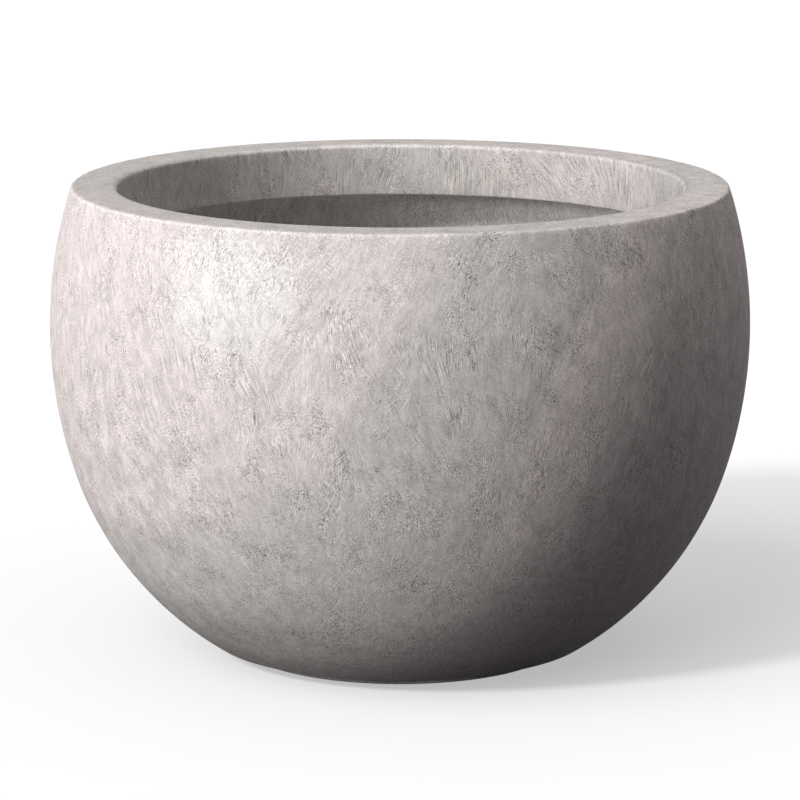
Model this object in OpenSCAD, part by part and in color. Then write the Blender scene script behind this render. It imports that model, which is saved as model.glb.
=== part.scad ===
// Round bowl planter, cast in fibre-reinforced concrete in one piece, with a thick rim that
// stands inward over the cavity, a low foot, and a drain hole closed by a rubber plug whose head
// lies in a seat in the floor.
// Sizes are in millimetres and +Z is up. The origin is on the ground, at the centre of the foot.

/* [Bowl] */
// Outside diameter at the belly, where the bowl is widest
bowl_d = 550; // [500:5:600]
// Height from the ground to the top of the rim
bowl_h = 371; // [350:1:390]
// Height of the belly above the ground
belly_h = 258; // [245:1:270]
// Section radius of the side, from the rim to some way below the belly
side_r = 361; // [340:1:400]
// Angle through which the side carries on below the belly, in degrees
side_turn = 17.6; // [14:0.2:22]
// Section radius of the lower body, from the side to the heel
body_r = 259; // [245:1:275]
// Thickness of the side and the lower body
wall_t = 12; // [9:0.5:18]

/* [Rim] */
// Width of the rim, from the edge of the mouth to the outside
rim_w = 36; // [28:1:46]
// Depth of the rim's upright inner face
rim_depth = 43; // [30:1:60]
// Rounding of the rim's outer edge
rim_outer_edge_r = 2.5; // [1:0.5:6]
// Rounding of the rim's inner edge
rim_inner_edge_r = 4; // [1:0.5:8]
// Rounding of the lower edge of the rim's inner face
lip_edge_r = 2; // [1:0.5:6]
// Radius of the cove under the rim, where it meets the side
lip_cove_r = 10; // [4:1:14]

/* [Base] */
// Outside diameter of the foot
foot_d = 256; // [230:1:270]
// Height of the foot's upright edge
foot_h = 2.5; // [2:0.5:5]
// Width of the ring that stands on the ground
foot_w = 30; // [20:1:45]
// Depth of the recess inside that ring
recess_h = 3; // [2:0.5:6]
// Rounding of the foot's two edges on the ground
foot_edge_r = 1; // [0.5:0.5:1.5]
// Height at which the lower body ends, in a heel that overhangs the foot
heel_h = 9.5; // [7:0.5:14]
// Thickness of the floor over the recess
floor_t = 21.5; // [16:0.5:30]
// Radius of the cove where the floor meets the lower body
floor_cove_r = 40; // [20:1:60]
// Diameter of the drain hole in the middle of the floor
drain_d = 28; // [22:0.5:36]
// Width of the bevel round the drain hole, on the underside
drain_bevel = 2; // [0.5:0.5:4]

/* [Plug] */
// How far the plug's head reaches past the drain hole, all round
head_lap = 9; // [6:0.5:14]
// Thickness of the plug's head
head_t = 4.5; // [3:0.5:7]
// Rounding of the head's upper edge
head_edge_r = 2; // [1:0.5:2.5]
// Gap between the head and the bottom of its seat
seat_gap = 0.3; // [0.1:0.1:0.6]
// Gap round the head in its seat, at the bottom
seat_play = 1.5; // [0.5:0.5:3]
// How much wider the seat is where it opens in the floor, all round
seat_draft = 1; // [0.5:0.5:3]
// How far the head's top lies below the floor
head_sunk = 0.7; // [0.3:0.1:2]
// How far the stem's tip stays above the underside of the floor
tip_short = 2.5; // [1:0.5:6]
// Taper of the stem, taken off its radius between the head and the tip
stem_taper = 1; // [0:0.1:1.5]
// Number of sealing ribs round the stem
rib_count = 3; // [2:1:4]
// Section radius of a sealing rib
rib_r = 1.4; // [1:0.1:1.8]
// How far a rib stands out from the stem's upper end
rib_proud = 0.7; // [0.4:0.1:0.9]
// Gap between a rib and the drain hole, all round
rib_gap = 0.05; // [0.02:0.01:0.1]
// Diameter of the hollow that opens at the stem's tip
core_d = 14; // [8:0.5:16]
// Rubber left between that hollow and the top of the head
core_cap = 8; // [5:0.5:12]
// Width of the finger tab on the head
tab_w = 24; // [18:1:30]
// Thickness of the finger tab
tab_t = 6; // [4:0.5:9]
// Height of the finger tab above the head
tab_h = 16; // [13:1:22]
// Rounding of the finger tab's upper corners
tab_corner_r = 7; // [3:1:9]

/* [Hidden] */
$fn = 96;
concrete = [0.74, 0.70, 0.69];
rubber = [0.10, 0.10, 0.11];

// An arc is drawn in steps no longer than this, in millimetres ...
arc_chord = 8;
// ... and that turn through no more than this, in degrees
arc_turn = 15;
// A cut starts this far outside what it cuts
spill = 1;

// Half section of the bowl: x is the distance from the axis and y is the height
belly_c = [bowl_d / 2 - side_r, belly_h];
body_c = belly_c + (side_r - body_r) * [cos(side_turn), -sin(side_turn)];
heel_angle = -asin((body_c.y - heel_h) / body_r);
rim_edge_c = inscribed(belly_c, side_r, rim_outer_edge_r, bowl_h - rim_outer_edge_r);
mouth_x = across(belly_c, side_r, bowl_h) - rim_w;
lip_z = bowl_h - rim_depth;
lip_cove_c = inscribed(belly_c, side_r - wall_t, lip_cove_r, lip_z - lip_cove_r);
floor_z = recess_h + floor_t;
floor_cove_c = inscribed(body_c, body_r - wall_t, floor_cove_r, floor_z + floor_cove_r);
foot_x = foot_d / 2;
recess_x = foot_x - foot_w;

// The plug, from the hole that it closes
drain_r = drain_d / 2;
head_r = drain_r + head_lap;
head_top = floor_z - head_sunk;
head_z = head_top - head_t;
seat_z = head_z - seat_gap;
seat_r = head_r + seat_play;
rib_reach = drain_r - rib_gap;
stem_r = rib_reach - rib_proud;
tip_z = recess_h + drain_bevel + tip_short;
// The lowest rib keeps half a pitch from the tip
rib_pitch = (seat_z - tip_z) / (rib_count + 1 / 2);

// Points on an arc about a centre; one that carries on from another leaves out its first point
function arc(centre, r, from, to, joined = false) =
    let (turn = abs(to - from), steps = ceil(max(turn / arc_turn, turn * r * PI / 180 / arc_chord)))
    [for (i = [(joined ? 1 : 0) : steps])
        let (a = from + (to - from) * i / steps) centre + r * [cos(a), sin(a)]];

// Where a circle passes a height, on the side away from the axis
function across(centre, r, z) = centre.x + sqrt(r * r - pow(z - centre.y, 2));

// Centre, at a height, of a rounding that touches the inside of a larger circle
function inscribed(centre, r, rounding_r, z) = [across(centre, r - rounding_r, z), z];

// Direction from one point to another, in degrees
function bearing(from, to) = atan2(to.y - from.y, to.x - from.x);

function bowl_section() = let (
    rim_bearing = bearing(belly_c, rim_edge_c),
    lip_bearing = bearing(belly_c, lip_cove_c),
    floor_bearing = bearing(body_c, floor_cove_c)
) concat(
    // underside: the recess, with a sloped edge, and the foot that surrounds it
    [[0, recess_h], [recess_x - recess_h, recess_h]],
    arc([recess_x + foot_edge_r, foot_edge_r], foot_edge_r, 180, 270),
    arc([foot_x - foot_edge_r, foot_edge_r], foot_edge_r, -90, 0),
    [[foot_x, foot_h]],
    // outside: from the heel over the belly to the rim
    arc(body_c, body_r, heel_angle, -side_turn),
    arc(belly_c, side_r, -side_turn, rim_bearing, true),
    arc(rim_edge_c, rim_outer_edge_r, rim_bearing, 90, true),
    // rim: its inner edge, upright face and lower edge, and the cove beneath
    arc([mouth_x + rim_inner_edge_r, bowl_h - rim_inner_edge_r], rim_inner_edge_r, 90, 180),
    arc([mouth_x + lip_edge_r, lip_z + lip_edge_r], lip_edge_r, 180, 270),
    arc(lip_cove_c, lip_cove_r, 90, lip_bearing),
    // cavity: down the inside of the wall to the floor and the seat for the plug's head
    arc(belly_c, side_r - wall_t, lip_bearing, -side_turn, true),
    arc(body_c, body_r - wall_t, -side_turn, floor_bearing, true),
    arc(floor_cove_c, floor_cove_r, floor_bearing, -90, true),
    [[seat_r + seat_draft, floor_z], [seat_r, seat_z], [0, seat_z]]
);

module bowl() {
    color(concrete)
    difference() {
        rotate_extrude() polygon(bowl_section());
        drain_hole();
    }
}

// The hole through the floor, with a bevel where it opens into the recess
module drain_hole() {
    translate([0, 0, recess_h - spill]) cylinder(r = drain_r, h = floor_t + 2 * spill);
    translate([0, 0, recess_h - spill])
        cylinder(r1 = drain_r + drain_bevel + spill, r2 = drain_r, h = drain_bevel + spill);
}

module drain_plug() {
    color(rubber)
    difference() {
        union() {
            plug_head();
            plug_stem();
            finger_tab();
        }
        translate([0, 0, tip_z - spill])
            cylinder(d = core_d, h = head_top - core_cap - tip_z + spill);
    }
}

module plug_head() {
    rotate_extrude() polygon(concat(
        [[0, head_z], [head_r, head_z]],
        arc([head_r - head_edge_r, head_top - head_edge_r], head_edge_r, 0, 90),
        [[0, head_top]]
    ));
}

// The tapered stem, with ribs that all reach the wall of the drain hole
module plug_stem() {
    translate([0, 0, tip_z]) cylinder(r1 = stem_r - stem_taper, r2 = stem_r, h = head_z - tip_z);
    for (i = [1 : rib_count])
        translate([0, 0, seat_z - i * rib_pitch])
            rotate_extrude() translate([rib_reach - rib_r, 0]) circle(rib_r);
}

module finger_tab() {
    rounding_c = [tab_w / 2 - tab_corner_r, head_top + tab_h - tab_corner_r];
    rotate([90, 0, 0]) linear_extrude(tab_t, center = true) polygon(concat(
        [[-tab_w / 2, head_z], [tab_w / 2, head_z]],
        arc(rounding_c, tab_corner_r, 0, 90),
        arc([-rounding_c.x, rounding_c.y], tab_corner_r, 90, 180)
    ));
}

bowl();
drain_plug();
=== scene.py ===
"""Concrete bowl planter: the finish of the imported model, with its floor, light and camera.

The bowl is one casting with a brushed, faintly pink grey skin. A rubber plug closes the drain
hole, and its head lies in a seat in the floor. Lengths are in metres and +Z is up. The origin is
on the ground at the centre of the foot, and the camera looks along +Y.
"""

from __future__ import annotations

import logging
import math
from dataclasses import dataclass, field
from enum import Enum
from typing import Any, Union

import bmesh
import bpy
from mathutils import Matrix, Vector, noise

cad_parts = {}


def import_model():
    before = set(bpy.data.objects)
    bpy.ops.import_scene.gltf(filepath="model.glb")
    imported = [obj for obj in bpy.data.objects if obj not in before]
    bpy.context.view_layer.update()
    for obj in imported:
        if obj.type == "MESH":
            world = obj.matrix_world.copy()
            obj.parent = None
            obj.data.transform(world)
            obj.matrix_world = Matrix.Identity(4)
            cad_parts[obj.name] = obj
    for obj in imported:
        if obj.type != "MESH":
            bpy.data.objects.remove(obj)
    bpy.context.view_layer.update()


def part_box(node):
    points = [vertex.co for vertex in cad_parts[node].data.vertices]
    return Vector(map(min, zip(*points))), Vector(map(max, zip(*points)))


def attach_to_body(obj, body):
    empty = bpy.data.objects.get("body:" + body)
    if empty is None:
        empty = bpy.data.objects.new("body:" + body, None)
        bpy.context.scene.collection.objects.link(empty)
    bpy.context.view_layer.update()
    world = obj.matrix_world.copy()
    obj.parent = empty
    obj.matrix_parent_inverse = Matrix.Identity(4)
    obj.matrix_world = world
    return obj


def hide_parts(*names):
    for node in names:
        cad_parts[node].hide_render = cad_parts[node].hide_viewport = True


LOG = logging.getLogger("bowl_planter")
MM = 0.001
UP = Vector((0, 0, 1))
# A turn about this axis carries +X to +Z, as angles run in a section that is drawn with Z up
SECTION_AXIS = Vector((0, -1, 0))
# Vertices closer than this are one
WELD = 1e-6
# An arc is drawn in steps that turn no further than this
ARC_TURN = math.radians(20)
# Faces that meet at more than this have a sharp edge between them
SHARP = math.radians(32)
# A vector times this keeps only its level part
LEVEL = (1.0, 1.0, 0.0)
# Places of a Mix node's sockets for colours, whose names other sockets of it have too
MIX_AMOUNT, MIX_FIRST, MIX_SECOND, MIX_RESULT = 0, 6, 7, 2

Colour = tuple[float, float, float]
Point = tuple[float, float, float]
Box = tuple[Vector, Vector]


class Body(Enum):
    """The bodies that pieces ride on."""

    BOWL = "bowl"
    DRAIN_PLUG = "drain_plug"


class Slot(Enum):
    """The record's material slots."""

    CONCRETE = "concrete"
    RUBBER = "rubber"


# ---------------------------------------------------------------------------------------------
# Shader maths


Operand = Union["Signal", float, int, tuple]


class Signal:
    """A value on its way through a node tree, so that shader maths reads as an expression.

    Args:
        sheet: The sheet of nodes that the value belongs to.
        socket: The output socket that carries it.
    """

    def __init__(self, sheet: "NodeSheet", socket: bpy.types.NodeSocket) -> None:
        """Wraps the socket."""
        self.sheet = sheet
        self.socket = socket

    @property
    def is_number(self) -> bool:
        """Whether the value is one number, and not a vector or a colour."""
        return self.socket.type == "VALUE"

    def _with(self, operation: str, first: Operand, second: Operand) -> "Signal":
        """Joins two values by a Math node, or by Vector Math where either one is a vector.

        Args:
            operation: The node's operation.
            first: The first value.
            second: The second value.

        Returns:
            The result.
        """
        values = (first, second)
        if all(not isinstance(v, tuple) and getattr(v, "is_number", True) for v in values):
            return self.sheet.node("ShaderNodeMath", {"operation": operation}, dict(enumerate(values)))
        parts = [(v, v, v) if isinstance(v, (int, float)) else v for v in values]
        return self.sheet.node("ShaderNodeVectorMath", {"operation": operation}, dict(enumerate(parts)))

    def __add__(self, other: Operand) -> "Signal":
        """Adds a value."""
        return self._with("ADD", self, other)

    def __radd__(self, other: Operand) -> "Signal":
        """Adds this to a value."""
        return self._with("ADD", other, self)

    def __sub__(self, other: Operand) -> "Signal":
        """Takes a value away."""
        return self._with("SUBTRACT", self, other)

    def __rsub__(self, other: Operand) -> "Signal":
        """Takes this away from a value."""
        return self._with("SUBTRACT", other, self)

    def __mul__(self, other: Operand) -> "Signal":
        """Multiplies by a value."""
        return self._with("MULTIPLY", self, other)

    def __rmul__(self, other: Operand) -> "Signal":
        """Multiplies a value by this."""
        return self._with("MULTIPLY", other, self)

    def __truediv__(self, other: Operand) -> "Signal":
        """Divides by a value."""
        return self._with("DIVIDE", self, other)

    def __rtruediv__(self, other: Operand) -> "Signal":
        """Divides a value by this."""
        return self._with("DIVIDE", other, self)

    def __pow__(self, other: Operand) -> "Signal":
        """Raises this to a power."""
        return self._with("POWER", self, other)

    def __rpow__(self, other: Operand) -> "Signal":
        """Raises a value to the power of this."""
        return self._with("POWER", other, self)

    def __abs__(self) -> "Signal":
        """The value without its sign."""
        return self.sheet.node("ShaderNodeMath", {"operation": "ABSOLUTE"}, {0: self})

    def least(self, other: Operand) -> "Signal":
        """The smaller of two values."""
        return self._with("MINIMUM", self, other)

    def most(self, other: Operand) -> "Signal":
        """The larger of two values."""
        return self._with("MAXIMUM", self, other)

    def rounded(self) -> "Signal":
        """The nearest whole number."""
        return self.sheet.node("ShaderNodeMath", {"operation": "ROUND"}, {0: self})

    def length(self) -> "Signal":
        """The length of a vector."""
        return self.sheet.node("ShaderNodeVectorMath", {"operation": "LENGTH"}, {0: self}, "Value")

    def along(self, direction: Operand) -> "Signal":
        """How far a vector reaches in a direction."""
        return self.sheet.node(
            "ShaderNodeVectorMath", {"operation": "DOT_PRODUCT"}, {0: self, 1: direction}, "Value"
        )

    def part(self, axis: str) -> "Signal":
        """One of a vector's parts, X, Y or Z."""
        return self.sheet.node("ShaderNodeSeparateXYZ", {}, {"Vector": self}, axis)


class NodeSheet:
    """The node tree of one material or world.

    Args:
        tree: The tree to fill. Whatever it holds is cleared.
    """

    def __init__(self, tree: bpy.types.NodeTree) -> None:
        """Takes the tree and clears it."""
        tree.nodes.clear()
        self.tree = tree

    def node(
        self,
        kind: str,
        settings: dict[str, Any] | None = None,
        values: dict[str | int, Any] | None = None,
        output: str | int = 0,
    ) -> Signal:
        """Adds a node.

        Args:
            kind: The node's type.
            settings: The node's own settings, which are set first.
            values: What goes into its sockets, by name or place: a Signal is linked, a colour
                gets its alpha of 1, and anything else is set as it is.
            output: The name or place of the output that is wanted.

        Returns:
            That output.
        """
        made = self.tree.nodes.new(kind)
        for name, value in (settings or {}).items():
            setattr(made, name, value)
        for name, value in (values or {}).items():
            socket = made.inputs[name]
            if isinstance(value, Signal):
                self.tree.links.new(value.socket, socket)
            else:
                socket.default_value = (*value, 1) if socket.type == "RGBA" else value
        return Signal(self, made.outputs[output])

    def bump(self, height: Signal, depth: float) -> Signal:
        """The direction that the surface faces when a relief of some depth is pressed into it."""
        return self.node("ShaderNodeBump", {}, {"Strength": 1.0, "Distance": depth, "Height": height})

    def dress(self, values: dict[str, Any]) -> None:
        """Ends a material's sheet in a Principled shader with these values."""
        self.outlet("ShaderNodeOutputMaterial", self.node("ShaderNodeBsdfPrincipled", {}, values))

    def outlet(self, kind: str, surface: Signal) -> None:
        """Ends the sheet in its output node.

        Args:
            kind: The output node's type.
            surface: The shader that it shows.
        """
        made = self.tree.nodes.new(kind)
        self.tree.links.new(surface.socket, made.inputs["Surface"])

    def place(self) -> Signal:
        """The point being shaded, in the piece's own coordinates."""
        return self.node("ShaderNodeTexCoord", {}, {}, "Object")

    def facing(self) -> Signal:
        """The direction that the surface faces, in the piece's own coordinates."""
        return self.node("ShaderNodeTexCoord", {}, {}, "Normal")

    def blend(self, amount: Operand, first: Operand, second: Operand) -> Signal:
        """Mixes two colours. The amount is the share of the second one, from 0 to 1."""
        values = {MIX_AMOUNT: amount, MIX_FIRST: first, MIX_SECOND: second}
        return self.node("ShaderNodeMix", {"data_type": "RGBA"}, values, MIX_RESULT)


def new_material(name: str) -> tuple[bpy.types.Material, NodeSheet]:
    """A node material with an empty sheet.

    Args:
        name: The material's name.

    Returns:
        The material and its sheet.
    """
    material = bpy.data.materials.new(name)
    material.use_nodes = True
    return material, NodeSheet(material.node_tree)


# ---------------------------------------------------------------------------------------------
# Finishes


@dataclass(frozen=True)
class Fade:
    """A smooth change from one result to another, as a value goes up.

    Attributes:
        low: Where the change starts.
        high: Where it ends.
        start: The result up to low.
        end: The result from high on.
    """

    low: float
    high: float
    start: float = 0.0
    end: float = 1.0

    def of(self, value: Signal) -> Signal:
        """The result of the change for a value on its way from low to high."""
        span = {"From Min": self.low, "From Max": self.high, "To Min": self.start, "To Max": self.end}
        return value.sheet.node(
            "ShaderNodeMapRange", {"interpolation_type": "SMOOTHSTEP"}, {"Value": value, **span}
        )


@dataclass(frozen=True)
class Bumps:
    """Soft random bumps.

    Attributes:
        size: The rough size of a bump.
        detail: How many finer layers are added.
        rough: How strong each finer layer is.
        slender: Width of a bump over its height.
        shift: How far the pattern is moved, so that two of them differ.
    """

    size: float
    detail: float
    rough: float
    slender: float = 1.0
    shift: Point = (0.0, 0.0, 0.0)

    def on(self, place: Signal) -> Signal:
        """Reads the bumps.

        Args:
            place: Where to read them.

        Returns:
            A number near 0.5, and mostly from 0.25 to 0.75.
        """
        where = place * (1.0, 1.0, self.slender) + self.shift
        values = {"Vector": where, "Scale": 1 / self.size, "Detail": self.detail, "Roughness": self.rough}
        return place.sheet.node("ShaderNodeTexNoise", {"noise_dimensions": "3D"}, values)

    def centred(self, place: Signal) -> Signal:
        """The bumps, round 0."""
        return self.on(place) - 0.5


# A change that is over under the ground, so that what it lets in is there at every height
EVERYWHERE = Fade(-1.0, -0.9)


# ---------------------------------------------------------------------------------------------
# Concrete


@dataclass(frozen=True)
class Leaning:
    """Coordinates in which upright marks lean, alike within a patch.

    The pattern is turned about the bowl's axis in proportion to height. A soft noise picks by how
    much, from a few steps, and each step reads another part of the pattern.

    Attributes:
        lean: Tangent of the lean for one step.
        shift: How far the patches are moved, so that two sets of them differ.
        patch: Size of a patch.
        steps: Number of steps over the whole range of the noise.
        apart: How far apart two steps read the pattern.
    """

    lean: float
    shift: Point = (0.0, 0.0, 0.0)
    patch: float = 0.13
    steps: float = 12.0
    apart: float = 3.7

    def of(self, place: Signal) -> Signal:
        """Works out the coordinates.

        Args:
            place: The point's own coordinates.

        Returns:
            Its coordinates in the leaning pattern.
        """
        patches = Bumps(self.patch, detail=1.0, rough=0.5, shift=self.shift)
        step = (patches.centred(place) * self.steps).rounded()
        twist = place.part("Z") * step * self.lean / (place * LEVEL).length()
        turned = place.sheet.node(
            "ShaderNodeVectorRotate", {"rotation_type": "Z_AXIS"}, {"Vector": place, "Angle": twist}
        )
        return turned + step * self.apart


@dataclass(frozen=True)
class BrushMarks:
    """Long fine lines that a brush has left in some spots.

    Attributes:
        lines: The lines.
        leaning: How they lean.
        spots: The noise that picks the spots.
        border: The border of a spot.
        above: Heights between which the spots come in.
        height: Height of the lines.
        rubbed: How much of the grain the brush has rubbed out.
    """

    lines: Bumps
    leaning: Leaning
    spots: Bumps
    border: Fade
    above: Fade
    height: float
    rubbed: float

    def where(self, place: Signal) -> Signal:
        """1 where the brush has been, and 0 elsewhere."""
        return self.border.of(self.spots.on(place)) * self.above.of(place.part("Z"))

    def relief(self, place: Signal) -> Signal:
        """The height of the lines, round 0, as if they were everywhere."""
        return self.lines.centred(self.leaning.of(place)) * self.height


@dataclass(frozen=True)
class BrushedSkin:
    """The relief of concrete that was brushed and sponged by hand while it was fresh.

    It is a fine crumbly grain, strong in some places and nearly rubbed out in others. In some
    spots a brush has combed or scratched it into long lines, which run up the wall and lean one
    way or the other. Open pores and short jagged cracks lie in a few rough spots.

    Attributes:
        leaning: How the grain and the streaks lean.
        crumbs: The crumbly grain.
        rough: The noise that makes the skin rough in some places.
        strength: How strong the relief is, from smooth places to rough ones.
        pore: The depth of the grain at which a pore opens.
        pore_places: How rough the skin is where pores open.
        pore_depth: Depth of a pore.
        combed: Lines combed nearly upright.
        scratched: Scratches that lean more.
        streaks: Soft streaks.
        streak_height: Height of the streaks.
        crack_loops: Loops that the cracks are parts of.
        crack: The edge of a crack.
        crack_spots: The noise that picks the spots with cracks.
        crack_border: The border of such a spot.
        crack_depth: Depth of a crack.
    """

    leaning: Leaning = Leaning(0.25)
    crumbs: Bumps = Bumps(0.0009, 1.0, 0.95, slender=0.7)
    rough: Bumps = Bumps(0.026, 3.0, 0.7, slender=0.7, shift=(0.3, 0.2, 0.1))
    strength: Fade = Fade(0.38, 0.62, 0.45, 1.35)
    pore: Fade = Fade(0.24, 0.36, 1.0, 0.0)
    pore_places: Fade = Fade(0.5, 0.6)
    pore_depth: float = 0.28
    combed: BrushMarks = BrushMarks(
        lines=Bumps(0.0007, 1.0, 0.6, slender=0.03),
        leaning=Leaning(0.3, shift=(0.6, 0.3, 0.2)),
        spots=Bumps(0.04, 3.0, 0.65, shift=(0.1, 0.7, 0.3)),
        border=Fade(0.48, 0.56),
        above=Fade(0.06, 0.16),
        height=1.0,
        rubbed=0.6,
    )
    scratched: BrushMarks = BrushMarks(
        lines=Bumps(0.0007, 1.0, 0.6, slender=0.02),
        leaning=Leaning(0.6, shift=(0.2, 0.8, 0.5)),
        spots=Bumps(0.035, 2.0, 0.5, shift=(0.6, 0.4, 0.9)),
        border=Fade(0.58, 0.64),
        above=EVERYWHERE,
        height=0.9,
        rubbed=0.3,
    )
    streaks: Bumps = Bumps(0.004, 1.0, 0.6, slender=0.34)
    streak_height: float = 0.33
    crack_loops: Bumps = Bumps(0.007, 3.0, 0.7)
    crack: Fade = Fade(0.0, 0.02, 1.0, 0.0)
    crack_spots: Bumps = Bumps(0.02, 2.0, 0.6, shift=(0.3, 0.3, 0.8))
    crack_border: Fade = Fade(0.6, 0.68)
    crack_depth: float = 0.3

    def grain(self, along: Signal, rough: Signal) -> Signal:
        """The crumbly grain, with the pores that open in rough places.

        Args:
            along: Coordinates that lean as the grain does.
            rough: How rough the skin is.

        Returns:
            The height, round 0.
        """
        crumbs = self.crumbs.on(along)
        pores = self.pore.of(crumbs) * self.pore_places.of(rough)
        return crumbs - 0.5 - pores * self.pore_depth

    def cracks(self, place: Signal) -> Signal:
        """Short jagged cracks in a few spots: 1 in a crack."""
        loops = self.crack.of(abs(self.crack_loops.centred(place)))
        return loops * self.crack_border.of(self.crack_spots.on(place))

    def relief(self, place: Signal) -> Signal:
        """Puts the marks together.

        Args:
            place: The point's own coordinates.

        Returns:
            The height of the skin, round 0.
        """
        along = self.leaning.of(place)
        rough = self.rough.on(place)
        kept: Operand = 1.0
        lines: list[Signal] = []
        for marks in (self.combed, self.scratched):
            where = marks.where(place)
            kept = kept - where * marks.rubbed
            lines.append(marks.relief(place) * where)
        marked = sum(lines, self.grain(along, rough) * kept) * self.strength.of(rough)
        streaks = self.streaks.centred(along) * self.streak_height
        return marked + streaks - self.cracks(place) * self.crack_depth


@dataclass(frozen=True)
class Zones:
    """Where a point lies on the bowl: each is 1 in its zone and 0 elsewhere.

    Attributes:
        top: The rim's top.
        inside: All that faces the cavity.
        deep: What faces the cavity below the rim.
    """

    top: Signal
    inside: Signal
    deep: Signal


@dataclass(frozen=True)
class PinkPaste:
    """The colour of the bowl's paste, with its painted light, shade and highlights.

    The paste is pink, with grey clouds, a broad grey band of painted shade that crosses the bowl
    aslant along a band of equal light, and a painted highlight, a pale patch high at the left front.
    The rim's top and the inside are greyer. Painted shade darkens the rim's top and the inside at the
    right, and painted light makes it paler deep inside towards the right. Painted highlights run along
    the rim's two top edges. The lower body is darker towards the bottom, with painted shade on the
    heel, more at the right, in the crease over the foot and on the foot's face, less at the right.

    Attributes:
        pink: Colour of the pink paste.
        grey: Colour of the grey paste.
        painted_highlight: Colour of the painted highlight, a pale patch high at the left front.
        deep: Colour of the paste inside, below the rim.
        clouds: The grey clouds, which also sway the borders of the painted shade band and highlight.
        cloud_strength: How strongly the clouds show.
        shade_band_way: Direction across the band of painted shade, which follows equal light.
        shade_band_middle: Distance of its middle from the origin, in that direction.
        shade_band_half: Half its width.
        shade_band_fade: Width of its soft border.
        shade_band_border: That border, in such widths.
        rim_grey: How grey the rim and the inside are.
        highlight_at: Middle of the painted highlight.
        highlight_border: Its border, by the distance from there.
        highlight_sway: How far the clouds sway that border.
        upward: Which faces look up, by the upright part of the direction that they face.
        rim_top: Which of these are the rim's, by height.
        floor: Which of these are the floor's and the lower body's, by height.
        inward: Which faces look inwards, by how far they face away from the axis.
        below_rim: What is below the rim, by height.
        right: The right side, by place from left to right.
        top_painted_shade: How much darker painted shade makes the rim's top.
        inside_painted_shade: How much darker painted shade makes the inside at the right.
        deep_painted_light: How much paler painted light makes it below the rim, from left to right.
        inner_edge: Radius and height of the rim's inner edge.
        outer_edge: Radius and height of the rim's outer edge.
        highlight_reach: How far a painted highlight reaches from such an edge.
        inner_highlight: How much paler the painted highlight makes the inner edge.
        inner_highlight_lost: How much of that is missing at the right.
        outer_highlight: How much paler the painted highlight makes the outer edge.
        darker_below: How light the lower body is, by height: darker towards the bottom.
        crease: How dark painted shade makes the crease over the foot, by height.
        heel: The heel, by height.
        heel_shade: How deep the painted shade on the heel is, from left to right.
        foot: The foot, by height.
        foot_shade: How light painted shade leaves the foot's face, from left to right.
    """

    pink: Colour = (0.585, 0.526, 0.517)
    grey: Colour = (0.503, 0.472, 0.452)
    # Painted highlight: a pale patch where the key light's sheen falls, high at the left front
    painted_highlight: Colour = (0.645, 0.613, 0.593)
    deep: Colour = (0.49, 0.478, 0.465)
    clouds: Bumps = Bumps(0.13, 3.0, 0.55, shift=(0.4, 0.8, 0.2))
    cloud_strength: float = 3.0
    # Painted shade: a greyer, darker band that follows the key light's shading across the bowl
    shade_band_way: Point = (-0.74, -0.54, 0.41)
    shade_band_middle: float = 0.217
    shade_band_half: float = 0.057
    shade_band_fade: float = 0.03
    shade_band_border: Fade = Fade(-0.5, 0.5)
    rim_grey: float = 0.8
    # Where the painted highlight lies and how its border runs
    highlight_at: Point = (-0.117, -0.241, 0.327)
    highlight_border: Fade = Fade(0.026, 0.056, 1.0, 0.0)
    highlight_sway: float = 0.09
    upward: Fade = Fade(0.5, 0.9)
    rim_top: Fade = Fade(0.36, 0.368)
    floor: Fade = Fade(0.1, 0.2, 1.0, 0.0)
    inward: Fade = Fade(-0.03, 0.0, 1.0, 0.0)
    below_rim: Fade = Fade(0.315, 0.33, 1.0, 0.0)
    right: Fade = Fade(-0.05, 0.2)
    # Painted shade on the rim's top and the inside at the right, and painted light deep inside
    top_painted_shade: float = 0.09
    inside_painted_shade: float = 0.2
    deep_painted_light: Fade = Fade(-0.12, 0.02, 0.0, 0.35)
    inner_edge: tuple[float, float] = (0.2219, 0.3700)
    outer_edge: tuple[float, float] = (0.2564, 0.3704)
    # Painted highlights along the rim's two top edges
    highlight_reach: float = 0.0024
    inner_highlight: float = 0.3
    inner_highlight_lost: float = 0.8
    outer_highlight: float = 0.15
    # Darker towards the bottom, with painted shade in the crease, on the heel and on the foot's face
    darker_below: Fade = Fade(0.0, 0.1, 0.55, 1.0)
    crease: Fade = Fade(0.0025, 0.006, 0.5, 1.0)
    heel: Fade = Fade(0.0, 0.04, 1.0, 0.0)
    heel_shade: Fade = Fade(-0.1, 0.06, 0.2, 0.46)
    foot: Fade = Fade(0.0023, 0.0027, 1.0, 0.0)
    foot_shade: Fade = Fade(-0.03, 0.06, 0.35, 0.9)

    def zones(self, place: Signal, facing: Signal) -> Zones:
        """Tells the rim's top and the inside from the rest.

        Args:
            place: The point's own coordinates.
            facing: The direction that the surface faces there.

        Returns:
            The zones.
        """
        height = place.part("Z")
        upward = self.upward.of(facing.part("Z"))
        inward = self.inward.of((place * LEVEL).along(facing))
        inside = inward.most(upward * self.floor.of(height))
        return Zones(upward * self.rim_top.of(height), inside, inside * self.below_rim.of(height))

    def edge_highlight(self, place: Signal, edge: tuple[float, float]) -> Signal:
        """How much painted highlight shows near an edge of the rim.

        Args:
            place: The point's own coordinates.
            edge: The edge's radius and height.

        Returns:
            1 on the edge and 0 away from it.
        """
        off = ((place * LEVEL).length() - edge[0]) ** 2.0 + (place.part("Z") - edge[1]) ** 2.0
        return Fade(0.0, self.highlight_reach**2, 1.0, 0.0).of(off)

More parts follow.
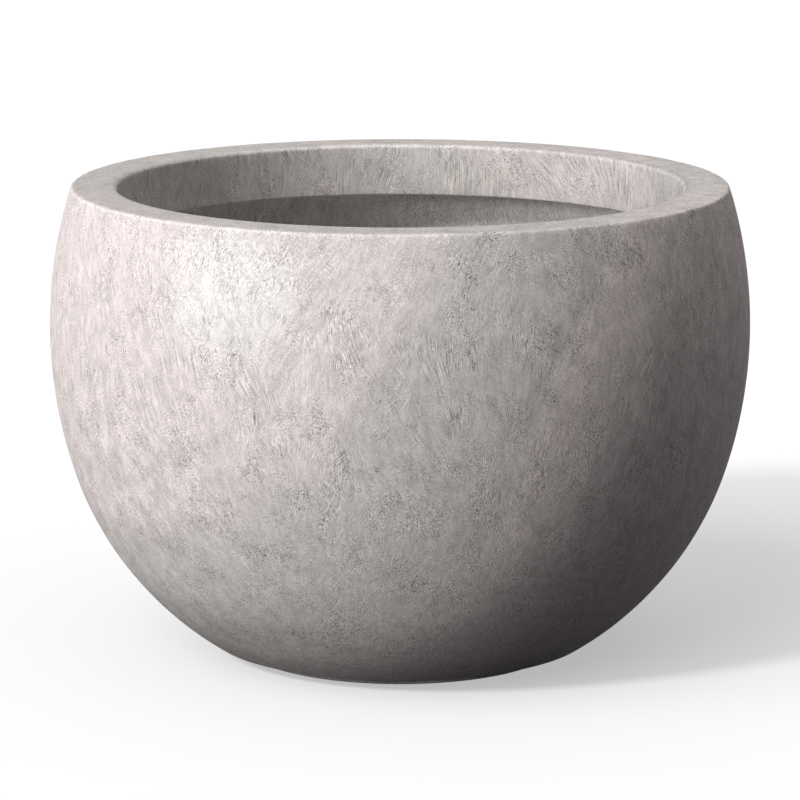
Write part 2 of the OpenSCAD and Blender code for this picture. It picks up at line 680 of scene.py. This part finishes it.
    def tone(self, place: Signal, zones: Zones) -> Signal:
        """The painted shade on the rim's top and the inside, the painted light deep inside, and the
        painted highlights along the rim's edges.

        Args:
            place: The point's own coordinates.
            zones: The zones.

        Returns:
            The tone, where 1 leaves the paste as it is.
        """
        rightwards = place.part("X")
        right = self.right.of(rightwards)
        # Painted shade on the rim's top and the right of the inside, painted light deep inside
        tone = 1.0 - zones.top * self.top_painted_shade - zones.inside * right * self.inside_painted_shade
        tone = tone + zones.deep * self.deep_painted_light.of(rightwards)
        # Painted highlights along the rim's inner and outer top edges
        inner = self.edge_highlight(place, self.inner_edge) * (1.0 - right * self.inner_highlight_lost)
        return tone + inner * self.inner_highlight + self.edge_highlight(place, self.outer_edge) * self.outer_highlight

    def lower_darkening(self, place: Signal, zones: Zones) -> Signal:
        """How dark the lower outside is: darker towards the bottom, with painted shade on the heel, in the
        crease and on the foot.

        Args:
            place: The point's own coordinates.
            zones: The zones.

        Returns:
            1 where it is left as it is, and less where it is darker.
        """
        height, rightwards = place.part("Z"), place.part("X")
        # Painted shade on the heel, deeper at the right, in the crease and on the foot's face, lighter at
        # the right
        heel = self.heel.of(height) * self.heel_shade.of(rightwards)
        body = self.darker_below.of(height) * (1.0 - heel) * self.crease.of(height)
        foot = self.foot.of(height) * self.foot_shade.of(rightwards)
        return body.most(foot).most(zones.deep)

    def colour(self, sheet: NodeSheet) -> Signal:
        """Mixes the paste.

        Args:
            sheet: The material's sheet.

        Returns:
            Its colour.
        """
        place = sheet.place()
        zones = self.zones(place, sheet.facing())
        rim = zones.inside.most(zones.top)
        sway = self.clouds.centred(place)
        cloud = sway * self.cloud_strength
        # The band of painted shade: greyer, darker paste along a band of equal light
        off = abs(place.along(self.shade_band_way) - self.shade_band_middle)
        shade_band = self.shade_band_border.of((self.shade_band_half - off) / self.shade_band_fade + cloud)
        # The painted highlight: a pale patch high at the left front
        patch = self.highlight_border.of((place - self.highlight_at).length() + sway * self.highlight_sway)
        greyness = shade_band.most(rim * (cloud + self.rim_grey).least(1.0))
        colour = sheet.blend(greyness, self.pink, self.grey)
        # Lays the painted highlight over the outside
        colour = sheet.blend(patch * (1.0 - rim), colour, self.painted_highlight)
        colour = sheet.blend(zones.deep, colour, self.deep)
        return colour * self.tone(place, zones) * self.lower_darkening(place, zones)


@dataclass(frozen=True)
class CastConcrete:
    """Cast concrete: a pink paste under a brushed skin, mottled and with specks of sand.

    Attributes:
        skin: The relief of the skin.
        paste: The colour of the paste.
        depth: Depth of the skin's relief, in metres.
        contrast: How much darker the hollows of the skin are than its crests.
        mottling: The mottling of the paste.
        mottled: How strong the mottling is, from left to right.
        mottled_left: How much stronger it is at the left of the lower body, from left to right.
        mottled_low: The lower body, by height.
        sand: The specks of sand.
        sand_strength: How strongly the specks show.
        roughness: Mean roughness.
        roughness_play: How much the mottling changes the roughness.
        specular: Strength of the reflection.
    """

    skin: BrushedSkin = BrushedSkin()
    paste: PinkPaste = PinkPaste()
    depth: float = 0.00036
    contrast: float = 1.6
    mottling: Bumps = Bumps(0.017, 3.0, 0.6, slender=0.7, shift=(0.5, 0.1, 0.6))
    mottled: Fade = Fade(0.0, 0.25, 0.45, 0.75)
    mottled_left: Fade = Fade(-0.2, -0.06, 0.42, 0.0)
    mottled_low: Fade = Fade(0.2, 0.3, 1.0, 0.0)
    sand: Bumps = Bumps(0.0008, 0.0, 0.5)
    sand_strength: float = 0.5
    roughness: float = 0.78
    roughness_play: float = 0.4
    specular: float = 0.08

    def material(self) -> bpy.types.Material:
        """Builds the material.

        Returns:
            The material.
        """
        material, sheet = new_material("brushed_concrete")
        place = sheet.place()
        rightwards = place.part("X")
        relief = self.skin.relief(place)
        mottle = self.mottling.centred(place)
        uneven = self.mottled_left.of(rightwards) * self.mottled_low.of(place.part("Z"))
        uneven = uneven + self.mottled.of(rightwards)
        shade = 1.0 + relief * self.contrast + mottle * uneven
        shade = shade + self.sand.centred(place) * self.sand_strength
        sheet.dress(
            {
                "Base Color": self.paste.colour(sheet) * shade,
                "Roughness": mottle * self.roughness_play + self.roughness,
                "Normal": sheet.bump(relief, self.depth),
                "Specular IOR Level": self.specular,
            }
        )
        return material


# ---------------------------------------------------------------------------------------------
# Rubber


@dataclass(frozen=True)
class MouldedRubber:
    """Matt black moulded rubber with a fine grain and a little dust in it.

    Attributes:
        black: Colour of clean rubber.
        dusty: Colour where dust has settled.
        grain: The moulded grain.
        depth: Depth of that grain, in metres.
        dust: The noise that picks where dust has settled.
        dust_border: The border of such a place.
        roughness: Roughness of clean rubber.
        dust_roughness: How much rougher it is where dust has settled.
    """

    black: Colour = (0.018, 0.018, 0.020)
    dusty: Colour = (0.055, 0.052, 0.050)
    grain: Bumps = Bumps(0.0006, 2.0, 0.5)
    depth: float = 0.00005
    dust: Bumps = Bumps(0.006, 4.0, 0.6)
    dust_border: Fade = Fade(0.45, 0.7)
    roughness: float = 0.55
    dust_roughness: float = 0.2

    def material(self) -> bpy.types.Material:
        """Builds the material.

        Returns:
            The material.
        """
        material, sheet = new_material("black_rubber")
        place = sheet.place()
        dust = self.dust_border.of(self.dust.on(place))
        sheet.dress(
            {
                "Base Color": sheet.blend(dust, self.black, self.dusty),
                "Roughness": dust * self.dust_roughness + self.roughness,
                "Normal": sheet.bump(self.grain.on(place), self.depth),
            }
        )
        return material


# ---------------------------------------------------------------------------------------------
# Modelling


class Turn(Enum):
    """Which way an arc of a section turns."""

    # From +X towards +Z
    LEFT = 1
    RIGHT = -1


class TurnedSection:
    """Draws a closed section in the XZ plane and turns it about Z.

    Args:
        x: Distance of the section's first point from the axis.
        z: Height of that point.
    """

    def __init__(self, x: float, z: float) -> None:
        """Starts the section at its first point."""
        self.mesh = bmesh.new()
        self.tip = bmesh.ops.create_vert(self.mesh, co=(x, 0, z))["vert"][0]
        self.first = self.tip

    def line(self, x: float, z: float, step: float = math.inf) -> "TurnedSection":
        """Draws a straight line to a point.

        Args:
            x: The point's distance from the axis.
            z: The point's height.
            step: The longest edge that the line is drawn with.

        Returns:
            The section, to draw on.
        """
        way = Vector((x, 0, z)) - self.tip.co
        count = max(1, math.ceil(way.length / step))
        for _ in range(count):
            made = bmesh.ops.extrude_vert_indiv(self.mesh, verts=[self.tip])
            self.tip = made["verts"][0]
            bmesh.ops.translate(self.mesh, verts=[self.tip], vec=way / count)
        return self

    def arc(self, centre: Vector, end: Vector, step: float, turn: Turn) -> "TurnedSection":
        """Draws an arc from the last point.

        Args:
            centre: The arc's centre, as distance from the axis and height.
            end: A point in the direction from the centre at which the arc ends.
            step: The longest edge that the arc is drawn with.
            turn: Which way it turns.

        Returns:
            The section, to draw on.
        """
        start = Vector((self.tip.co.x, self.tip.co.z)) - centre
        angle = (bearing(end - centre) - bearing(start)) * turn.value % math.tau
        count = max(1, math.ceil(angle * start.length / step), math.ceil(angle / ARC_TURN))
        made = bmesh.ops.spin(
            self.mesh,
            geom=[self.tip],
            cent=(centre.x, 0, centre.y),
            axis=SECTION_AXIS * turn.value,
            angle=angle,
            steps=count,
        )
        self.tip = next(item for item in made["geom_last"] if isinstance(item, bmesh.types.BMVert))
        return self

    def turned(self, steps: int) -> bmesh.types.BMesh:
        """Closes the section and turns it about Z.

        Args:
            steps: How many steps the full turn has.

        Returns:
            The closed mesh, with its faces pointing outwards.
        """
        if (self.tip.co - self.first.co).length > WELD and min(self.tip.co.x, self.first.co.x) > WELD:
            self.mesh.edges.new((self.tip, self.first))
        bmesh.ops.remove_doubles(self.mesh, verts=self.mesh.verts, dist=WELD)
        bmesh.ops.spin(
            self.mesh,
            geom=[*self.mesh.verts, *self.mesh.edges],
            cent=(0, 0, 0),
            axis=UP,
            angle=math.tau,
            steps=steps,
            use_merge=True,
        )
        bmesh.ops.remove_doubles(self.mesh, verts=self.mesh.verts, dist=WELD)
        bmesh.ops.recalc_face_normals(self.mesh, faces=self.mesh.faces)
        return self.mesh


def bearing(direction: Vector) -> float:
    """The angle of a direction in the section, from +X towards +Z."""
    return math.atan2(direction.y, direction.x)


def across(centre: Vector, radius: float, z: float) -> float:
    """Where a circle of the section passes a height, on the side away from the axis."""
    return centre.x + math.sqrt(radius**2 - (z - centre.y) ** 2)


def inscribed(centre: Vector, radius: float, rounding: float, z: float) -> Vector:
    """The centre, at a height, of a rounding that touches the inside of a larger circle."""
    return Vector((across(centre, radius - rounding, z), z))


def finished_piece(name: str, mesh: bmesh.types.BMesh, material: bpy.types.Material) -> bpy.types.Object:
    """Makes an object of a bmesh, smooth but for its sharp edges.

    Args:
        name: The piece's name.
        mesh: The mesh, which is freed.
        material: Its finish.

    Returns:
        The object, linked to the scene.
    """
    mesh.normal_update()
    for edge in mesh.edges:
        edge.smooth = edge.calc_face_angle(0.0) < SHARP
    for face in mesh.faces:
        face.smooth = True
    data = bpy.data.meshes.new(name)
    mesh.to_mesh(data)
    mesh.free()
    data.materials.append(material)
    piece = bpy.data.objects.new(name, data)
    bpy.context.scene.collection.objects.link(piece)
    return piece


# ---------------------------------------------------------------------------------------------
# The bowl


@dataclass
class DrainSeat:
    """The drain hole and the seat in the floor that takes the plug's head.

    Attributes:
        drain_r: Radius of the drain hole.
        drain_bevel: Width of the bevel at the hole's lower end.
        head_lap: How far the plug's head reaches past the hole.
        head_t: Thickness of the head.
        head_sunk: How far the head's top lies below the floor.
        seat_gap: Gap between the head and the bottom of its seat.
        seat_play: Gap round the head.
        seat_draft: How much wider the seat is at the floor.
        floor_z: Height of the floor.
        recess_h: Height of the recess under the floor.
    """

    drain_r: float = 14 * MM
    drain_bevel: float = 2 * MM
    head_lap: float = 9 * MM
    head_t: float = 4.5 * MM
    head_sunk: float = 0.7 * MM
    seat_gap: float = 0.3 * MM
    seat_play: float = 1.5 * MM
    seat_draft: float = 1 * MM
    floor_z: float = 24.5 * MM
    recess_h: float = 3 * MM

    @property
    def head_r(self) -> float:
        """Radius of the plug's head."""
        return self.drain_r + self.head_lap

    @property
    def head_top(self) -> float:
        """Height of the top of the plug's head."""
        return self.floor_z - self.head_sunk

    @property
    def head_z(self) -> float:
        """Height of the underside of the plug's head."""
        return self.head_top - self.head_t

    @property
    def seat_z(self) -> float:
        """Height of the bottom of the seat."""
        return self.head_z - self.seat_gap

    @property
    def seat_r(self) -> float:
        """Radius of the bottom of the seat."""
        return self.head_r + self.seat_play


@dataclass
class ConcreteBowl:
    """The bowl: a one-piece casting, turned from one section, with a hand-finished skin.

    Attributes:
        box: The bowl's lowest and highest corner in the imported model.
        seat: The drain hole and the plug's seat.
        belly_h: Height of the belly.
        side_r: Section radius of the side.
        side_turn: Angle through which the side carries on below the belly, in radians.
        body_r: Section radius of the lower body.
        wall_t: Thickness of the wall.
        rim_w: Width of the rim.
        rim_depth: Depth of the rim's inner face.
        rim_outer_edge_r: Rounding of the rim's outer edge.
        rim_inner_edge_r: Rounding of the rim's inner edge.
        lip_edge_r: Rounding of the inner face's lower edge.
        lip_cove_r: Radius of the cove under the rim.
        foot_r: Outside radius of the foot.
        foot_h: Height of the foot's upright edge.
        foot_w: Width of the ring that stands on the ground.
        foot_edge_r: Rounding of the foot's edges.
        heel_h: Height of the heel.
        floor_cove_r: Radius of the cove between floor and wall.
        steps: Steps in the full turn.
        row: Height of a row of faces on the outside.
        inner_row: Height of a row of faces on the inside.
        wall_waves: Length and depth of each kind of unevenness in the wall.
        chip_depth: Depth of the deepest chip in the edges of the rim's top.
        chip_length: Size of a chip along the edge.
        chip_reach: How far a chip reaches from the edge.
        chip_share: How much of an edge is chipped, from -1, nothing, to 1, all of it.
        true_below: Height below which the bowl has no unevenness.
        true_fade: Height over which it comes in.
    """

    box: Box
    seat: DrainSeat = field(default_factory=DrainSeat)
    belly_h: float = 258 * MM
    side_r: float = 361 * MM
    side_turn: float = math.radians(17.6)
    body_r: float = 259 * MM
    wall_t: float = 12 * MM
    rim_w: float = 36 * MM
    rim_depth: float = 43 * MM
    rim_outer_edge_r: float = 2.5 * MM
    rim_inner_edge_r: float = 4 * MM
    lip_edge_r: float = 2 * MM
    lip_cove_r: float = 10 * MM
    foot_r: float = 128 * MM
    foot_h: float = 2.5 * MM
    foot_w: float = 30 * MM
    foot_edge_r: float = 1 * MM
    heel_h: float = 9.5 * MM
    floor_cove_r: float = 40 * MM
    steps: int = 420
    row: float = 4.4 * MM
    inner_row: float = 12 * MM
    wall_waves: tuple[tuple[float, float], ...] = ((34 * MM, 0.16 * MM), (14 * MM, 0.12 * MM))
    chip_depth: float = 0.6 * MM
    chip_length: float = 7 * MM
    chip_reach: float = 3.2 * MM
    chip_share: float = 0.15
    true_below: float = 26 * MM
    true_fade: float = 12 * MM

    @property
    def height(self) -> float:
        """Height of the bowl."""
        return self.box[1].z

    @property
    def belly(self) -> Vector:
        """Centre of the side's arc."""
        return Vector((self.box[1].x - self.side_r, self.belly_h))

    @property
    def join_way(self) -> Vector:
        """Direction from the centre of the side's arc to where the lower body joins it."""
        return Vector((math.cos(self.side_turn), -math.sin(self.side_turn)))

    @property
    def body(self) -> Vector:
        """Centre of the lower body's arc."""
        return self.belly + (self.side_r - self.body_r) * self.join_way

    @property
    def mouth_r(self) -> float:
        """Radius of the mouth."""
        return across(self.belly, self.side_r, self.height) - self.rim_w

    def section(self) -> TurnedSection:
        """Draws the section, from the drain hole round the inside, rim, outside and foot.

        Returns:
            The section.
        """
        seat, belly, body, top = self.seat, self.belly, self.body, self.height
        join = belly + self.side_r * self.join_way
        cove_z = seat.floor_z + self.floor_cove_r
        floor_cove = inscribed(body, self.body_r - self.wall_t, self.floor_cove_r, cove_z)
        lip_z = top - self.rim_depth
        lip_cove = inscribed(belly, self.side_r - self.wall_t, self.lip_cove_r, lip_z - self.lip_cove_r)
        lip_edge = Vector((self.mouth_r + self.lip_edge_r, lip_z + self.lip_edge_r))
        inner_edge = Vector((self.mouth_r + self.rim_inner_edge_r, top - self.rim_inner_edge_r))
        outer_edge = inscribed(belly, self.side_r, self.rim_outer_edge_r, top - self.rim_outer_edge_r)
        heel = Vector((across(body, self.body_r, self.heel_h), self.heel_h))
        foot_outer = Vector((self.foot_r - self.foot_edge_r, self.foot_edge_r))
        recess_r = self.foot_r - self.foot_w
        foot_inner = Vector((recess_r + self.foot_edge_r, self.foot_edge_r))
        up, left, down = Vector((0, 1)), Vector((-1, 0)), Vector((0, -1))

        pen = TurnedSection(seat.drain_r, seat.seat_z)
        pen.line(seat.seat_r, seat.seat_z).line(seat.seat_r + seat.seat_draft, seat.floor_z)
        pen.line(floor_cove.x, seat.floor_z, self.inner_row)
        pen.arc(floor_cove, floor_cove + (floor_cove - body), self.inner_row / 2, Turn.LEFT)
        pen.arc(body, join, self.inner_row, Turn.LEFT)
        pen.arc(belly, lip_cove, self.inner_row / 2, Turn.LEFT)
        pen.arc(lip_cove, lip_cove + up, self.row / 2, Turn.LEFT)
        pen.line(lip_edge.x, lip_z, self.row)
        pen.arc(lip_edge, lip_edge + left, self.row, Turn.RIGHT)
        pen.line(self.mouth_r, inner_edge.y, self.row)
        pen.arc(inner_edge, inner_edge + up, self.row, Turn.RIGHT)
        pen.line(outer_edge.x, top, self.row)
        pen.arc(outer_edge, outer_edge + (outer_edge - belly), self.row, Turn.RIGHT)
        pen.arc(belly, join, self.row, Turn.RIGHT)
        pen.arc(body, heel, self.row, Turn.RIGHT)
        pen.line(self.foot_r, self.foot_h, self.inner_row)
        pen.line(self.foot_r, foot_outer.y)
        pen.arc(foot_outer, foot_outer + down, self.row, Turn.RIGHT)
        pen.line(foot_inner.x, 0, self.inner_row)
        pen.arc(foot_inner, foot_inner + left, self.row, Turn.RIGHT)
        pen.line(recess_r - seat.recess_h, seat.recess_h)
        pen.line(seat.drain_r + seat.drain_bevel, seat.recess_h, self.inner_row * 2)
        pen.line(seat.drain_r, seat.recess_h + seat.drain_bevel)
        return pen

    def build(self, material: bpy.types.Material) -> bpy.types.Object:
        """Builds the bowl.

        Args:
            material: The concrete.

        Returns:
            The bowl's object.
        """
        mesh = self.section().turned(self.steps)
        self.roughen(mesh)
        return finished_piece("bowl_casting", mesh, material)

    def roughen(self, mesh: bmesh.types.BMesh) -> None:
        """Presses the unevenness of a hand-made wall, and chips in the rim's edges, into the skin.

        The foot, the underside, the floor and the seat stay true.

        Args:
            mesh: The turned bowl.
        """
        edges = (
            Vector((across(self.belly, self.side_r, self.height), self.height)),
            Vector((self.mouth_r, self.height)),
        )
        mesh.normal_update()
        for vert in mesh.verts:
            place = vert.co.copy()
            fade = min(max((place.z - self.true_below) / self.true_fade, 0), 1)
            if fade == 0:
                continue
            waves = sum(
                depth * (0.5 + 0.5 * noise.noise(place / length)) for length, depth in self.wall_waves
            )
            spot = Vector((math.hypot(place.x, place.y), place.z))
            nearness = max(1 - (spot - edge).length / self.chip_reach for edge in edges)
            chipped = max(noise.noise(place / self.chip_length) + self.chip_share, 0)
            chip = self.chip_depth * max(nearness, 0) * chipped
            vert.co = place - vert.normal * fade * (waves + chip)


# ---------------------------------------------------------------------------------------------
# The plug


@dataclass
class DrainPlug:
    """The rubber plug: a head in the seat, a ribbed and hollow stem, and a finger tab.

    Attributes:
        seat: The drain hole and the seat that it fills.
        head_edge_r: Rounding of the head's upper edge.
        tip_short: How far the stem's tip stays above the hole's lower bevel.
        stem_taper: Taper of the stem, taken off its radius.
        rib_count: Number of sealing ribs.
        rib_r: Section radius of a rib.
        rib_proud: How far a rib stands out from the stem.
        rib_gap: Gap between a rib and the hole.
        core_r: Radius of the hollow in the stem.
        core_cap: Rubber left over that hollow.
        tab: Width, thickness and height of the finger tab.
        tab_corner_r: Rounding of the tab's upper corners.
        tab_edge_r: Rounding of the tab's other edges.
        tab_fold: Edges of the tab at which its faces meet at more than this are rounded.
        steps: Steps in the full turn.
        row: Longest edge of the section.
    """

    seat: DrainSeat = field(default_factory=DrainSeat)
    head_edge_r: float = 2 * MM
    tip_short: float = 2.5 * MM
    stem_taper: float = 1 * MM
    rib_count: int = 3
    rib_r: float = 1.4 * MM
    rib_proud: float = 0.7 * MM
    rib_gap: float = 0.05 * MM
    core_r: float = 7 * MM
    core_cap: float = 8 * MM
    tab: tuple[float, float, float] = (24 * MM, 6 * MM, 16 * MM)
    tab_corner_r: float = 7 * MM
    tab_edge_r: float = 1.2 * MM
    tab_fold: float = math.radians(60)
    steps: int = 96
    row: float = 1.2 * MM

    def turned_part(self) -> bmesh.types.BMesh:
        """Turns the head and the stem, with its ribs and its hollow.

        Returns:
            The mesh.
        """
        seat = self.seat
        reach = seat.drain_r - self.rib_gap
        stem_r = reach - self.rib_proud
        tip_z = seat.recess_h + seat.drain_bevel + self.tip_short
        # The lowest rib keeps half a pitch from the tip
        pitch = (seat.seat_z - tip_z) / (self.rib_count + 1 / 2)
        core_top = seat.head_top - self.core_cap
        head_edge = Vector((seat.head_r - self.head_edge_r, seat.head_top - self.head_edge_r))

        def stem_at(z: float) -> float:
            """Radius of the stem at a height."""
            return stem_r - self.stem_taper * (seat.head_z - z) / (seat.head_z - tip_z)

        pen = TurnedSection(0, core_top)
        pen.line(self.core_r, core_top, self.row * 2).line(self.core_r, tip_z, self.row * 2)
        pen.line(stem_at(tip_z), tip_z)
        for index in range(self.rib_count, 0, -1):
            rib = Vector((reach - self.rib_r, seat.seat_z - index * pitch))
            half = math.sqrt(self.rib_r**2 - (stem_at(rib.y) - rib.x) ** 2)
            pen.line(stem_at(rib.y), rib.y - half)
            pen.arc(rib, Vector((stem_at(rib.y), rib.y + half)), self.row / 3, Turn.LEFT)
        pen.line(stem_r, seat.head_z)
        pen.line(seat.head_r, seat.head_z, self.row * 2)
        pen.line(seat.head_r, head_edge.y)
        pen.arc(head_edge, head_edge + Vector((0, 1)), self.row / 3, Turn.LEFT)
        pen.line(0, seat.head_top, self.row * 2)
        return pen.turned(self.steps)

    def finger_tab(self) -> bmesh.types.BMesh:
        """Makes the tab from a block with its edges rounded, long enough to end inside the head.

        Returns:
            The mesh.
        """
        width, thickness, height = self.tab
        bottom = self.seat.head_top - self.seat.head_t / 2
        top = self.seat.head_top + height
        mesh = bmesh.new()
        size = Matrix.Diagonal((width, thickness, top - bottom, 1))
        bmesh.ops.create_cube(mesh, size=1, matrix=Matrix.Translation((0, 0, (top + bottom) / 2)) @ size)
        corners = [
            edge
            for edge in mesh.edges
            if all(vert.co.z > top - WELD for vert in edge.verts)
            and abs(edge.verts[0].co.x - edge.verts[1].co.x) < WELD
        ]
        round_edges(mesh, corners, self.tab_corner_r, segments=8)
        rims = [
            edge
            for edge in mesh.edges
            if edge.calc_face_angle(0.0) > self.tab_fold
            and any(vert.co.z >= bottom + WELD for vert in edge.verts)
        ]
        round_edges(mesh, rims, self.tab_edge_r, segments=4)
        bmesh.ops.recalc_face_normals(mesh, faces=mesh.faces)
        return mesh

    def build(self, material: bpy.types.Material) -> bpy.types.Object:
        """Builds the plug as one closed piece.

        Args:
            material: The rubber.

        Returns:
            The plug's object.
        """
        plug = finished_piece("rubber_drain_plug", self.turned_part(), material)
        tab = finished_piece("finger_tab_block", self.finger_tab(), material)
        join = plug.modifiers.new("tab", "BOOLEAN")
        join.operation = "UNION"
        join.solver = "EXACT"
        join.object = tab
        joined = bpy.data.meshes.new_from_object(plug.evaluated_get(bpy.context.evaluated_depsgraph_get()))
        plug.modifiers.clear()
        bpy.data.objects.remove(tab)
        mesh = bmesh.new()
        mesh.from_mesh(joined)
        bmesh.ops.remove_doubles(mesh, verts=mesh.verts, dist=WELD)
        mesh.to_mesh(plug.data)
        mesh.free()
        bpy.data.meshes.remove(joined)
        return plug


def round_edges(
    mesh: bmesh.types.BMesh, edges: list[bmesh.types.BMEdge], radius: float, segments: int
) -> None:
    """Rounds edges.

    Args:
        mesh: The mesh that they belong to.
        edges: The edges.
        radius: Radius of the rounding.
        segments: Faces across it.
    """
    bmesh.ops.bevel(
        mesh,
        geom=edges,
        offset=radius,
        offset_type="OFFSET",
        affect="EDGES",
        segments=segments,
        profile=0.5,
        material=-1,
        clamp_overlap=True,
    )


# ---------------------------------------------------------------------------------------------
# Floor, light and camera


class Lit(Enum):
    """What a lamp lights, as the state of the floor among its receivers."""

    FLOOR_ONLY = "INCLUDE"
    ALL_BUT_FLOOR = "EXCLUDE"


@dataclass(frozen=True)
class Lamp:
    """A distant lamp.

    Attributes:
        name: The lamp's name.
        azimuth: Direction that its light comes from, from +X towards +Y, in degrees.
        elevation: Height of the lamp above the horizon, in degrees.
        softness: Angle of sky that it fills, in degrees.
        strength: Its irradiance.
        shines_on: What it lights.
    """

    name: str
    azimuth: float
    elevation: float
    softness: float
    strength: float
    shines_on: Lit

    def build(self, floor: bpy.types.Object) -> None:
        """Makes the lamp.

        Args:
            floor: The floor, which the object's lamps leave out and the floor's light alone.
        """
        data = bpy.data.lights.new(self.name, "SUN")
        data.energy = self.strength
        data.angle = math.radians(self.softness)
        lamp = bpy.data.objects.new(self.name, data)
        azimuth, elevation = math.radians(self.azimuth), math.radians(self.elevation)
        level = math.cos(elevation)
        towards = Vector((level * math.cos(azimuth), level * math.sin(azimuth), math.sin(elevation)))
        lamp.rotation_mode = "QUATERNION"
        lamp.rotation_quaternion = towards.to_track_quat("Z", "Y")
        bpy.context.scene.collection.objects.link(lamp)
        receivers = bpy.data.collections.new(self.name + "_receivers")
        receivers.objects.link(floor)
        receivers.collection_objects[0].light_linking.link_state = self.shines_on.value
        lamp.light_linking.receiver_collection = receivers


@dataclass
class Studio:
    """A pale floor in a white surround, with soft lamps.

    Attributes:
        lamps: The key light from the left front, a broad light low at the left and a very broad
            one overhead, for the object, and a key light, a broad light from the same side and
            an overhead light for the floor.
        ambient: Strength of the surround for everything but the background.
        floor_r: Radius of the floor.
        floor_sides: Number of sides that it is drawn with.
        floor_glow: Light that the floor gives off in the picture, so that its shadow stays pale.
        floor_gain: How much stronger that glow is further out, where the floor meets the surround.
        floor_tone: Colour of the floor in the picture.
        floor_bounce: Colour of the floor as the object is lit by it.
    """

    lamps: tuple[Lamp, ...] = (
        Lamp("key_light", -135, 33.5, 8, 1.80, Lit.ALL_BUT_FLOOR),
        Lamp("side_light", -146, 8, 32, 2.82, Lit.ALL_BUT_FLOOR),
        Lamp("overhead_light", -90, 90, 90, 1.85, Lit.ALL_BUT_FLOOR),
        Lamp("floor_key_light", -135, 33.5, 8, 4.25, Lit.FLOOR_ONLY),
        Lamp("floor_broad_light", -135, 33.5, 60, 4.05, Lit.FLOOR_ONLY),
        Lamp("floor_sky_light", -90, 90, 90, 1.85, Lit.FLOOR_ONLY),
    )
    ambient: float = 0.065
    floor_r: float = 14.0
    floor_sides: int = 96
    floor_glow: float = 0.465
    floor_gain: Fade = Fade(0.3, 0.9, 1.0, 1.12)
    floor_tone: float = 0.25
    floor_bounce: float = 0.03

    def seen(self, sheet: NodeSheet) -> Signal:
        """Picks the rays that make the picture.

        Args:
            sheet: The sheet to use it in.

        Returns:
            1 for a ray from the camera, or one that is reflected or let through to it.
        """
        rays = ("Is Camera Ray", "Is Glossy Ray", "Is Transmission Ray")
        camera, glossy, through = (sheet.node("ShaderNodeLightPath", {}, {}, ray) for ray in rays)
        return camera.most(glossy).most(through)

    def floor_material(self) -> bpy.types.Material:
        """Builds a floor that looks white but keeps the shadow, and lights the object less.

        Returns:
            The floor's material.
        """
        material, sheet = new_material("pale_floor")
        matt = sheet.node("ShaderNodeBsdfDiffuse", {}, {"Color": (self.floor_tone,) * 3})
        gain = self.floor_gain.of(sheet.place().length())
        glow = sheet.node("ShaderNodeEmission", {}, {"Color": gain, "Strength": self.floor_glow})
        shown = sheet.node("ShaderNodeAddShader", {}, {0: matt, 1: glow})
        bounce = sheet.node("ShaderNodeBsdfDiffuse", {}, {"Color": (self.floor_bounce,) * 3})
        mixed = sheet.node("ShaderNodeMixShader", {}, {0: self.seen(sheet), 1: bounce, 2: shown})
        sheet.outlet("ShaderNodeOutputMaterial", mixed)
        return material

    def build(self) -> None:
        """Makes the floor, the surround and the lamps."""
        mesh = bmesh.new()
        bmesh.ops.create_circle(mesh, cap_ends=True, radius=self.floor_r, segments=self.floor_sides)
        floor = finished_piece("studio_floor", mesh, self.floor_material())

        world = bpy.data.worlds.new("surround")
        world.use_nodes = True
        bpy.context.scene.world = world
        sheet = NodeSheet(world.node_tree)
        strength = self.seen(sheet) * (1 - self.ambient) + self.ambient
        sky = sheet.node("ShaderNodeBackground", {}, {"Color": (1, 1, 1), "Strength": strength})
        sheet.outlet("ShaderNodeOutputWorld", sky)
        for lamp in self.lamps:
            lamp.build(floor)


@dataclass
class PhotoCamera:
    """The camera at the photograph's viewing angle.

    Attributes:
        distance: How far in front of the bowl's axis it stands.
        height: Its height.
        dip: How far it looks down, in radians.
        sensor: Width of its sensor, in millimetres.
        focal_pixels: Focal length, in pixels of the picture.
        picture: Width of the picture, in pixels.
    """

    distance: float = 3.1
    height: float = 0.8242
    dip: float = math.radians(11.43)
    sensor: float = 36.0
    focal_pixels: float = 3998.6
    picture: int = 800

    def build(self) -> None:
        """Makes the camera and sets it as the scene's."""
        data = bpy.data.cameras.new("photo_camera")
        data.sensor_width = self.sensor
        data.lens = self.focal_pixels * self.sensor / self.picture
        camera = bpy.data.objects.new("photo_camera", data)
        camera.location = (0, -self.distance, self.height)
        camera.rotation_euler = (math.pi / 2 - self.dip, 0, 0)
        bpy.context.scene.collection.objects.link(camera)
        bpy.context.scene.camera = camera


# ---------------------------------------------------------------------------------------------
# The whole


def attach(piece: bpy.types.Object, body: Body, slot: Slot, *nodes: str) -> None:
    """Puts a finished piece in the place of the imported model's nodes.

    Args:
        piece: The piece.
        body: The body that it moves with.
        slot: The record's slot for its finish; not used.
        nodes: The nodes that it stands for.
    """
    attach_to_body(piece, body.value)
    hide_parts(*nodes)
    triangles = sum(len(face.vertices) - 2 for face in piece.data.polygons)
    LOG.info("%s: %d triangles, rides on %s", piece.name, triangles, body.value)


def main() -> None:
    """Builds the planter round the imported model."""
    logging.basicConfig(level=logging.INFO, format="%(name)s: %(message)s")
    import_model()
    bpy.context.scene.view_settings.view_transform = "Standard"

    PhotoCamera().build()
    Studio().build()

    seat = DrainSeat()
    bowl = ConcreteBowl(box=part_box("bowl"), seat=seat)
    attach(bowl.build(CastConcrete().material()), Body.BOWL, Slot.CONCRETE, "bowl")
    plug = DrainPlug(seat=seat)
    attach(plug.build(MouldedRubber().material()), Body.DRAIN_PLUG, Slot.RUBBER, "drain_plug")


if __name__ == "__main__":
    main()
